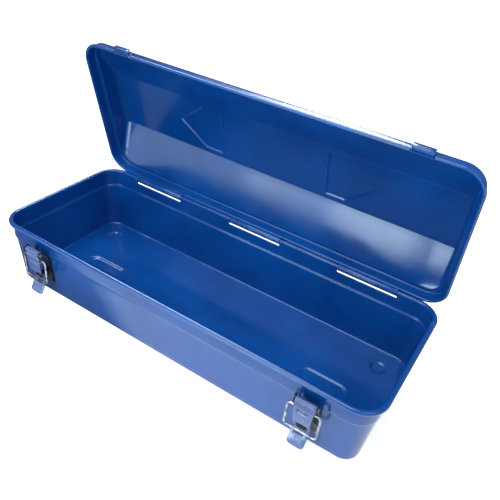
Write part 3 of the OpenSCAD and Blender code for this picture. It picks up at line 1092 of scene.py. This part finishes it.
@dataclass
class Keepers:
    """Hook plates on the lid's front rim."""

    finishes: Finishes
    thick: float = 1.0
    low: float = 0.8
    out: float = 1.6
    lip: float = 5.0
    plate_end: float = 2.5  # below the skirt's top

    def build(self, x: float) -> Mesh:
        """Builds one keeper at a place along the case."""
        s = SIZES
        wall = -(s.corner_y + s.wall + SHEET) - self.thick / 2
        level = self.low + self.thick / 2
        lip = -s.depth / 2 - self.out
        corners = [(wall, s.skirt - self.plate_end), (wall, level), (lip, level), (lip, self.low + self.lip)]
        bm = sheet_ribbon(rounded_path(corners, [0.6, 0.8], 6), s.keeper_half, self.thick, 4)
        soft_edges(bm, 0.25, 50)
        return moved(bm, x, 0, 0)

    def dress(self) -> None:
        """Hands the keepers over as pieces."""
        enamel = self.finishes.enamel
        for name, sign in (("left", -1), ("right", 1)):
            plate = self.build(sign * SIZES.latch_x)
            piece(f"keeper_{name}_plate", plate, opened(), Body.LID, enamel, [f"keeper_{name}"])


@dataclass
class Latch:
    """One draw latch: a zinc back plate with ears and tongue, a pin, a blue lever and a wire bail.

    Pairs of a pin or a hook are (out, up); pairs along the lever are (up, out).
    """

    finishes: Finishes
    side: str
    x: float
    pin: Pair = (9.0, 3.0)
    hook: Pair = (9.5, -4.0)
    pin_r: float = 1.5
    pin_head: float = 2.4
    lever_half: float = 9.0
    lever_t: float = 1.2
    lever_columns: int = 32
    window_half: float = 6.2
    window: Pair = (-30.2, -22.2)
    presses: tuple[tuple[float, Pair, Pair, Pair], ...] = (
        (2.4, (5.2, 6.2), (4.6, 5.4), (7.0, 10.5)), (1.2, (2.6, 3.4), (15.6, 16.2), (17.0, 17.8)),
    )  # the plate's hollow and the dash under it: depth, then where sides, top and foot slope
    flange_in: float = 7.2
    flange_end: float = -19.0
    taper: float = 0.15
    tab_half: float = 7.75
    tab_from: Pair = (-31.5, 7.5)
    tab_tip: Pair = (-45.5, 16.5)
    tab_slot: float = 4.3  # down the tab
    slot_half: Pair = (4.2, 1.3)
    base_half: float = 10.6
    base_t: float = 1.2
    base_top: float = -5.0
    base_end: float = -38.0
    ear: float = 4.0
    ear_foot: Pair = (-14.0, 0.2)
    rivet_ups: Pair = (-9.5, -33.0)
    bail_r: float = 1.1
    bail_bend: float = 3.0
    bail_half: float = 14.4
    bail_in: float = 7.2
    bail_drop: float = 26.0

    @property
    def plate_at(self) -> float:
        """How far out the lever's plate lies, at its middle."""
        return self.pin[0] + self.pin_r + RUN_GAP + self.lever_t / 2

    def lever(self) -> Mesh:
        """Builds the lever: rolled top, plate with a pressed hollow, step, window and finger tab."""
        out, half = self.plate_at, self.lever_half
        around = [(u, o) for o, u in arc(self.pin, out - self.pin[0], 260, -42, 36)]
        down = [around[-1], (0.2, 10.0), (-2.4, out), (-21.0, out), (-24.5, 7.5), self.tab_from]
        path = around + rounded_path(down, [0.8, 1.2, 1.6, 1.6], 6, 0.8)[1:]
        bm = bmesh.new()
        edges = chain(bm, [Vector((-half, u, o)) for u, o in path])
        for _ in range(self.lever_columns):
            edges = drawn_out(bm, edges, Vector((2 * half / self.lever_columns, 0, 0)))
        for v in bm.verts:
            self._press(v)
        low, high = self.window
        drop_faces(bm, lambda at: abs(at.x) < self.window_half and low < at.y < high)
        sheet = gathered(thickened(bm, self.lever_t), self._flange(-1), self._flange(1))
        for v in sheet.verts:
            v.co.x *= 1 - self.taper * ease(-v.co.y, 0.0, 20.0)
        whole = gathered(sheet, self._tab())
        soft_edges(whole, 0.22, 50)
        return whole

    def _tab(self) -> Mesh:
        """Builds the flared finger tab, with round corners and a pressed slot through it."""
        run = Vector(self.tab_tip) - Vector(self.tab_from)
        half, long = self.tab_half, run.length
        wide, high = self.slot_half
        top, low = high - self.tab_slot, -high - self.tab_slot
        outer = [(0, 0.6), (half, 0.6), (half, -long), (-half, -long), (-half, 0.6), (0, 0.6)]
        inner = [(0, top), (wide, top), (wide, low), (-wide, low), (-wide, top), (0, top)]
        loops = (rounded_path(outer, [0, 3.2, 3.2, 0], 8), rounded_path(inner, [1.2] * 4, 5))
        bm = bmesh.new()
        edges = [e for loop in loops for e in chain(bm, [Vector((*p, 0)) for p in loop[:-1]], closed=True)]
        bmesh.ops.triangle_fill(bm, edges=edges, use_beauty=True, use_dissolve=False)
        turn = Matrix.Rotation(math.atan2(run.y, -run.x), 4, "X").inverted()
        return placed(thickened(bm, self.lever_t), Matrix.Translation((0, *self.tab_from)) @ turn)

    def _press(self, v: Vert) -> None:
        """Presses the hollow, and the dash under it, into the plate."""
        x, down = abs(v.co.x), -v.co.y
        if v.co.z > self.plate_at - 0.3 and 2.0 < down < 19.5:
            for depth, side, top, foot in self.presses:
                v.co.z -= depth * (1 - ease(x, *side)) * ease(down, *top) * (1 - ease(down, *foot))

    def _flange(self, sign: int) -> Mesh:
        """Builds one side flange, which carries the bail's end."""
        top, out, inner = self.pin[1] - 1.0, self.plate_at, self.flange_in
        outline = [(top, out), (top - 2, inner), (-12.0, inner), (self.flange_end, out)]
        x = sign * (self.lever_half - self.lever_t / 2)
        return flat_sheet(rounded_path(outline, [1.0, 1.5], 4), x, self.lever_t)

    def pin_piece(self) -> Mesh:
        """Builds the pin with its two spread heads."""
        r, head, neck = self.pin_r, self.pin_head, self.base_half
        end = neck + 1.0
        low = [(0, -end), (head, -end), (head, -neck), (r, -neck)]
        high = [(r, neck), (head, neck), (head, end), (0, end)]
        profile = rounded_path(low + high, [0.4, 0.2, 0.0, 0.0, 0.2, 0.4], 4)
        return placed(lathed(profile, 24), along_x(0, self.pin[1], self.pin[0]))

    def base(self) -> Mesh:
        """Builds the back plate with its ears and its snap tongue."""
        t = self.base_t
        back = [(y, t / 2) for y in (self.base_top, -12.0, -24.0, self.base_end)]
        low, level = self.ear_foot
        lobe = [(u, o) for o, u in arc(self.pin, self.ear, -40, 128, 14)]
        ear = lobe + [(self.base_top, 1.5), (self.base_top, level), (low, level), (low, t), (-0.95, 8.4)]
        ears = [flat_sheet(ear, sign * (self.base_half - t / 2), t) for sign in (-1, 1)]
        tongue = rounded_path([(-27.0, t / 2), (-27.0, 9.2), (-29.0, 9.2)], [0.5], 5)
        whole = gathered(sheet_ribbon(back, self.base_half, t, 6), *ears, sheet_ribbon(tongue, 4.0, t, 2))
        soft_edges(whole, 0.2, 50)
        return whole

    def rivets(self) -> Mesh:
        """Builds the back plate's two rivets, heads outside and spread inside the tray."""
        corners = [
            (0, 2.2), (2.2, 2.2), (3.0, 1.2), (1.6, 1.2), (1.6, -1.0), (2.8, -1.1), (2.2, -2.0), (0, -2.0),
        ]
        profile = rounded_path(corners, [0.5, 0.1, 0, 0, 0.1, 0.3], 4)
        return gathered(*(moved(lathed(profile, 24), 0, up, 0) for up in self.rivet_ups))

    def bail(self) -> Mesh:
        """Builds the wire loop, with its two ends hooked into the lever's flanges."""
        lean, (y, z) = SIZES.lean, SIZES.latch_place
        out, up = self.hook
        y -= out * math.cos(lean) + up * math.sin(lean)
        z += up * math.cos(lean) - out * math.sin(lean)
        half, drop = self.bail_half, -self.bail_drop
        corners = [(self.bail_in, 0), (half, 0), (half, drop), (-half, drop), (-half, 0), (-self.bail_in, 0)]
        wire = wire_rod([Vector((a, 0, b)) for a, b in corners], self.bail_r, self.bail_bend)
        return moved(wire, self.x, y, z)

    def dress(self) -> None:
        """Hands the latch's parts over as pieces."""
        f, at, as_drawn = self.finishes, on_front(self.x), Matrix.Identity(4)
        lever, bail = Body(f"{self.side}_lever"), Body(f"{self.side}_bail")
        for name, bm, place, body, slot, finish, node in (
            ("latch_plate", self.base(), at, Body.CASE, Slot.ZINC, f.plate, "latch_base"),
            ("plate_rivets", self.rivets(), at, Body.CASE, Slot.ZINC, f.zinc, "base_rivets"),
            ("pin", self.pin_piece(), at, Body.CASE, Slot.ZINC, f.zinc, "lever_pin"),
            ("latch_lever", self.lever(), at, lever, Slot.ENAMEL, f.lever, "lever"),
            ("latch_bail", self.bail(), as_drawn, bail, Slot.WIRE, f.wire, "bail"),
        ):
            piece(f"{name}_{self.side}", bm, place, body, finish, [f"{node}_{self.side}"])


@dataclass
class Handle:
    """The folding handle: two zinc saddles, a bent rod with flattened heads and a moulded grip."""

    finishes: Finishes
    base: float = 34.7
    rod_z: float = 39.3
    rod: float = 3.0
    bend: float = 8.0
    width: float = 124.0
    reach: float = 45.0
    saddle_x: float = 76.0
    saddle_half: float = 5.0
    saddle_t: float = 1.2
    saddle_foot: float = 11.0
    head: float = 4.2
    head_t: float = 2.0
    grip: float = 7.5
    grip_length: float = 94.0
    grip_steps: int = 150
    collar: Pair = (9.0, 7.5)  # from the grip's end: where a collar starts to rise and is up
    collar_rise: float = 0.45
    ring_depth: float = 0.35
    ring_pitch: float = 4.2

    def saddle(self, sign: int) -> Mesh:
        """Builds one saddle: a strap bent over the rod with two welded feet."""
        t = self.saddle_t
        ring = self.rod + RUN_GAP + t / 2
        level = self.base + t / 2
        front = rounded_path([(-self.saddle_foot, level), (-ring, level), (-ring, self.rod_z)], [0.7], 5)
        over = arc((0, self.rod_z), ring, 180, 0, 18)
        back = rounded_path([(ring, self.rod_z), (ring, level), (self.saddle_foot, level)], [0.7], 5)
        bm = sheet_ribbon(front + over[1:-1] + back, self.saddle_half, t, 4)
        soft_edges(bm, 0.2, 50)
        return moved(bm, sign * self.saddle_x, 0, 0)

    def rod_piece(self) -> Mesh:
        """Builds the bent rod and its two heads."""
        end = self.saddle_x + self.saddle_half + 0.4
        half, reach, z = self.width / 2, self.reach, self.rod_z
        corners = [(end + 1, 0), (half, 0), (half, reach), (-half, reach), (-half, 0), (-end - 1, 0)]
        rod = wire_rod([Vector((x, y, z)) for x, y in corners], self.rod, self.bend, 24)
        wide, thick = self.head, self.head_t
        outline = rounded_path([(0, 0), (wide, 0), (wide, thick), (0, thick)], [0.4, 0.8], 5)
        heads = (placed(lathed(outline, 28), along_x(sign * end, 0, z, sign)) for sign in (-1, 1))
        return gathered(rod, *heads)

    def grip_piece(self) -> Mesh:
        """Builds the grip: a sleeve with raised collars and shallow finger rings."""
        half, r = self.grip_length / 2, self.grip
        outer = []
        for k in range(self.grip_steps + 1):
            along = -half + 2.0 + (self.grip_length - 4.0) * k / self.grip_steps
            collar = ease(abs(along), half - self.collar[0], half - self.collar[1])
            wave = 0.5 - 0.5 * math.cos(along / self.ring_pitch * math.tau)
            rings = self.ring_depth * wave if abs(along) < half - 10 else 0.0
            outer.append((r - self.collar_rise * (1 - collar) - rings, along))
        start = [(self.rod, -half), (r - 2.0, -half), (r - 0.6, -half + 0.6)]
        end = [(r - 0.6, half - 0.6), (r - 2.0, half), (self.rod, half)]
        return placed(lathed(start + outer + end, 40), along_x(0, self.reach, self.rod_z))

    def dress(self) -> None:
        """Hands the handle over as pieces."""
        f, at = self.finishes, opened()
        for name, sign in (("left", -1), ("right", 1)):
            saddle = self.saddle(sign)
            piece(f"saddle_{name}", saddle, at, Body.LID, f.zinc, [f"handle_saddle_{name}"])
        piece("rod", self.rod_piece(), at, Body.HANDLE, f.wire, ["handle_rod"])
        piece("grip", self.grip_piece(), at, Body.HANDLE, f.grip, ["handle_grip"], 60.0)


# ---- studio ----


@dataclass(frozen=True)
class Softbox:
    """One soft lamp: its place and size in metres and its power in watts."""

    name: str
    place: Triple
    wide: float
    high: float
    power: float
    glint_only: bool = False  # shows in the enamel, but lights nothing


@dataclass(frozen=True)
class Studio:
    """A pale floor, soft lamps and the camera at the photograph's angle."""

    table_z: float = -1.5
    azimuth: float = 28.8
    elevation: float = 36.22
    roll: float = 7.37
    distance: float = 519.53
    target: Triple = (32.06, 0.0, 82.59)
    focal_px: float = 559.65
    middle_px: Pair = (241.03, 265.27)
    image_px: float = 500.0
    sensor: float = 36.0
    floor_lift: float = 0.68
    painted_shadow_depth: float = 0.8
    painted_shadow_across: Triple = (-0.467, 1.0, 0.0)  # the way in which the floor's painted shadow of the box turns dark in mirror images
    painted_shadow_edge: Pair = (-0.063, -0.043)
    room: float = 0.3
    daylight: Triple = (0.93, 0.98, 1.0)
    aim: Triple = (0.0, 0.0, 0.08)
    softboxes: tuple[Softbox, ...] = (
        Softbox("top", (-0.25, -0.6, 1.5), 1.2, 1.2, 19.5),
        Softbox("window", (-0.19, -0.75, 0.15), 0.48, 0.3, 1.95),
        Softbox("curtain", (-0.6, -0.75, 0.15), 0.35, 0.3, 0.3),
        Softbox("sill", (-0.01, -0.45, 0.08), 0.18, 0.16, 0.38, glint_only=True),
        Softbox("fill", (1.2, -0.5, 1.3), 1.2, 1.2, 6.0),
        Softbox("strip", (-0.6, 0.5, 1.25), 1.2, 0.4, 24.0, glint_only=True),
    )

    @staticmethod
    def _seen(tree: Tree) -> Socket:
        """Gives 1 for the rays that show a surface as a picture: straight or through glass."""
        rays = [add_node(tree, "LightPath", out=f"Is {kind} Ray") for kind in ("Camera", "Transmission")]
        return add_node(tree, "Math", *rays, operation="MAXIMUM")

    def floor(self) -> None:
        """Lays a white floor that keeps the box's shadow; past a line its colour is a painted shadow of the
        box, dark in mirror images and bounce light but shown white.
        """
        bm = bmesh.new()
        bmesh.ops.create_grid(bm, x_segments=1, y_segments=1, size=12.0)
        made = linked("floor", as_data("floor", moved(bm, 0, 0, self.table_z * MM)))
        paint = Paint("white_floor_with_painted_shadow")
        add, lift = paint.add, self.floor_lift
        # painted shadow: past a line the floor's colour and its glow in mirror images turn dark, standing in
        # for the box's cast shadow
        past = add("VectorMath", paint.place, self.painted_shadow_across, operation="DOT_PRODUCT", out="Value")
        shade = add("MapRange", past, *self.painted_shadow_edge, 0.0, self.painted_shadow_depth)
        ends = linear("#F4F4F4"), linear("#101010")
        paint.feed("Base Color", add("Mix", shade, *SKIP, *ends, data_type="RGBA", out=2))
        paint.inputs["Roughness"].default_value = 0.9
        paint.inputs["Specular IOR Level"].default_value = 0.0
        paint.inputs["Emission Color"].default_value = (1, 1, 1, 1)
        shown = add("Math", shade, 1.0, lift, operation="MULTIPLY_ADD")
        direct = add("Math", self._seen(paint.tree), shown, operation="MULTIPLY")
        mirrored = add("Math", shade, -lift, lift, operation="MULTIPLY_ADD")
        glossy = add("LightPath", out="Is Glossy Ray")
        paint.feed("Emission Strength", add("Math", glossy, mirrored, direct, operation="MULTIPLY_ADD"))
        made.data.materials.append(paint.material)

    def lamps(self) -> None:
        """Hangs the soft lamps and lights the room."""
        world = bpy.data.worlds.new("room")
        bpy.context.scene.world = world
        world.use_nodes = True
        tree = world.node_tree
        back = tree.nodes["Background"]
        back.inputs["Color"].default_value = (1, 1, 1, 1)
        glow = add_node(tree, "MapRange", self._seen(tree), 0, 1, self.room, 1.0)
        tree.links.new(glow, back.inputs["Strength"])
        for box in self.softboxes:
            data = bpy.data.lights.new(box.name, "AREA")
            data.shape = "RECTANGLE"
            data.size, data.size_y = box.wide, box.high
            data.energy = box.power
            data.color = self.daylight
            lamp = linked(box.name, data)
            lamp.location = box.place
            lamp.visible_diffuse = not box.glint_only
            lamp.rotation_mode = "QUATERNION"
            lamp.rotation_quaternion = (Vector(self.aim) - Vector(box.place)).to_track_quat("-Z", "Y")

    def camera(self) -> None:
        """Sets the camera that sees the box as the photograph does."""
        a, e, r = (math.radians(v) for v in (self.azimuth, self.elevation, self.roll))
        back = Vector((math.sin(a) * math.cos(e), -math.cos(a) * math.cos(e), math.sin(e)))
        right = (-back).cross(Vector((0, 0, 1))).normalized()
        up = right.cross(-back)
        x_axis = right * math.cos(r) + up * math.sin(r)
        y_axis = -right * math.sin(r) + up * math.cos(r)
        data = bpy.data.cameras.new("camera")
        data.sensor_width = self.sensor
        data.lens = self.focal_px * self.sensor / self.image_px
        data.shift_x = (self.image_px / 2 - self.middle_px[0]) / self.image_px
        data.shift_y = (self.middle_px[1] - self.image_px / 2) / self.image_px
        data.clip_start, data.clip_end = 0.01, 20.0
        made = linked("camera", data)
        turn = Matrix((x_axis, y_axis, back)).transposed().to_4x4()
        made.matrix_world = Matrix.Translation((Vector(self.target) + back * self.distance) * MM) @ turn
        bpy.context.scene.camera = made

    def build(self) -> None:
        """Sets up the whole studio."""
        bpy.context.scene.view_settings.view_transform = "Standard"
        self.floor()
        self.lamps()
        self.camera()


def main() -> None:
    """Builds the studio and every sub-assembly."""
    logging.basicConfig(level=logging.INFO, format="%(name)s: %(message)s")
    finishes = Finishes.made()
    Studio().build()
    Tray(finishes).dress()
    Lid(finishes).dress()
    HingeStraps(finishes).dress()
    Keepers(finishes).dress()
    for side, sign in (("left", -1), ("right", 1)):
        Latch(finishes, side, sign * SIZES.latch_x).dress()
    Handle(finishes).dress()


if __name__ == "__main__":
    main()
